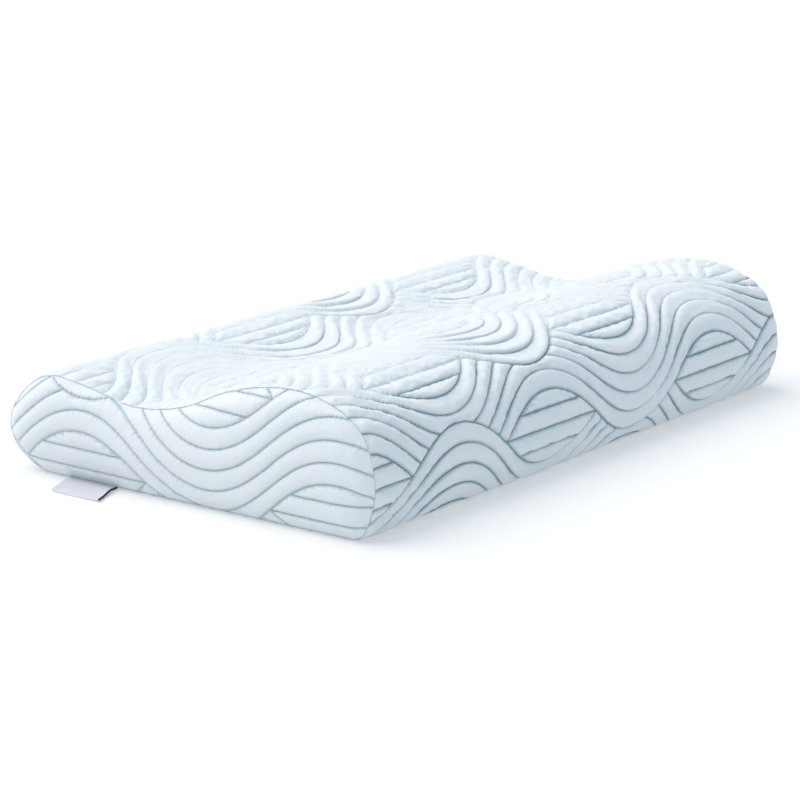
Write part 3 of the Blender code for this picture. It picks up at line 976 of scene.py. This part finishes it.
def thread_material():
    """Grey-green thread, a little lighter in patches, and coloured paler with painted light where
    the cloth faces up.
    """
    material, nodes, links = new_material("quilting_thread", roughness=0.55)
    # Painted light: the thread is mixed towards its paler colours where the cloth faces up
    pale = stored_value(nodes, "painted_light")
    shades = [mixed(nodes, links, pale, pair) for pair in zip(THREAD_DARK, THREAD_PAINTED_LIT)]
    colour = mixed(nodes, links, pattern(nodes, links, "Noise", THREAD_SCALE), shades)
    links.new(colour, nodes["Principled BSDF"].inputs["Base Color"])
    return material


def edge_material():
    """The label's dark edge thread, a little lighter on some stitches."""
    material, nodes, links = new_material("label_edge_thread", roughness=0.6)
    colour = mixed(nodes, links, pattern(nodes, links, "Noise", EDGE_SCALE), EDGE_COLOURS)
    links.new(colour, nodes["Principled BSDF"].inputs["Base Color"])
    return material


def label_material():
    """White satin with a fine weave."""
    material, nodes, links = new_material("satin_label", roughness=0.42)
    shader = nodes["Principled BSDF"]
    weave = pattern(nodes, links, "Wave", SATIN_SCALE)
    bump = bump_node(nodes, links, weave, strength=0.2, distance=SATIN_DEPTH)
    links.new(bump.outputs["Normal"], shader.inputs["Normal"])
    links.new(mixed(nodes, links, weave, SATIN_COLOURS), shader.inputs["Base Color"])
    return material


# Floor, light and camera

def build_floor():
    half = FLOOR_HALF
    corners = [(-half, -half, 0), (half, -half, 0), (half, half, 0), (-half, half, 0)]
    floor = mesh_object("floor", corners, [(0, 1, 2, 3)])
    material, nodes, _links = new_material("pale_floor", roughness=0.95)
    shader = nodes["Principled BSDF"]
    shader.inputs["Base Color"].default_value = FLOOR_COLOUR
    shader.inputs["Specular IOR Level"].default_value = 0.1
    shader.inputs["Emission Color"].default_value = FLOOR_GLOW
    shader.inputs["Emission Strength"].default_value = FLOOR_GLOW_STRENGTH
    floor.data.materials.append(material)


def build_light():
    world = bpy.data.worlds.new("studio")
    world.use_nodes = True
    world.node_tree.nodes["Background"].inputs["Color"].default_value = WORLD_COLOUR
    world.node_tree.nodes["Background"].inputs["Strength"].default_value = WORLD_STRENGTH
    bpy.context.scene.world = world
    bpy.context.scene.view_settings.view_transform = "Standard"
    lamp = bpy.data.lights.new("soft_key", "SUN")
    lamp.energy = KEY_STRENGTH
    lamp.angle = KEY_SOFTNESS
    lamp.color = KEY_COLOUR
    key = bpy.data.objects.new("soft_key", lamp)
    key.rotation_euler = Vector(KEY_FROM).to_track_quat("Z", "Y").to_euler()
    bpy.context.scene.collection.objects.link(key)


def build_camera():
    sin_a, cos_a = math.sin(CAMERA_AZIMUTH), math.cos(CAMERA_AZIMUTH)
    sin_e, cos_e = math.sin(CAMERA_ELEVATION), math.cos(CAMERA_ELEVATION)
    back = Vector((sin_a * cos_e, -cos_a * cos_e, sin_e))
    level = Vector((cos_a, sin_a, 0))
    upward = back.cross(level)
    right = level * math.cos(CAMERA_ROLL) + upward * math.sin(CAMERA_ROLL)
    up = upward * math.cos(CAMERA_ROLL) - level * math.sin(CAMERA_ROLL)
    place = Vector(CAMERA_AIM) + back * CAMERA_DISTANCE
    place += right * CAMERA_ASIDE[0] + up * CAMERA_ASIDE[1]
    camera = bpy.data.objects.new("camera", bpy.data.cameras.new("camera"))
    camera.data.lens = CAMERA_LENS
    turned = Matrix((right, up, back)).transposed().to_4x4()
    camera.matrix_world = Matrix.Translation(place) @ turned
    bpy.context.scene.collection.objects.link(camera)
    bpy.context.scene.camera = camera


def dress(thing, material, replaced=()):
    """Gives a piece its material, its body and the solids that it stands for."""
    thing.data.materials.clear()
    thing.data.materials.append(material)
    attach(thing, "root")
    if replaced:
        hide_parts(*replaced)


build_camera()
build_light()
build_floor()
knit = cloth_material()
thread = thread_material()
wrap, wrap_stitching = build_wrap()
panels = []
for panel_name, thread_name, node, side in (
        ("quilted_end_left", "quilting_thread_left", "end_panel_left", -1),
        ("quilted_end_right", "quilting_thread_right", "end_panel_right", 1)):
    panel, panel_stitching = build_end_panel(panel_name, side)
    dress(panel, knit, [node])
    dress(end_thread(thread_name, side, panel_stitching), thread)
    panels.append(panel)
dress(wrap, knit, ["pillow_body"])
for name, lowest, highest in (("quilting_thread_front", -GIRTH, GIRTH / 2),
                              ("quilting_thread_back", GIRTH / 2, 2 * GIRTH)):
    dress(wrap_thread(name, wrap_stitching, lowest, highest), thread)
for piece in [wrap] + panels:
    puff_up(piece)
rows = label_rows()
label = build_label(rows)
dress(label, label_material(), ["seam_label"])
label_edge = build_label_edge(rows)
dress(label_edge, edge_material())
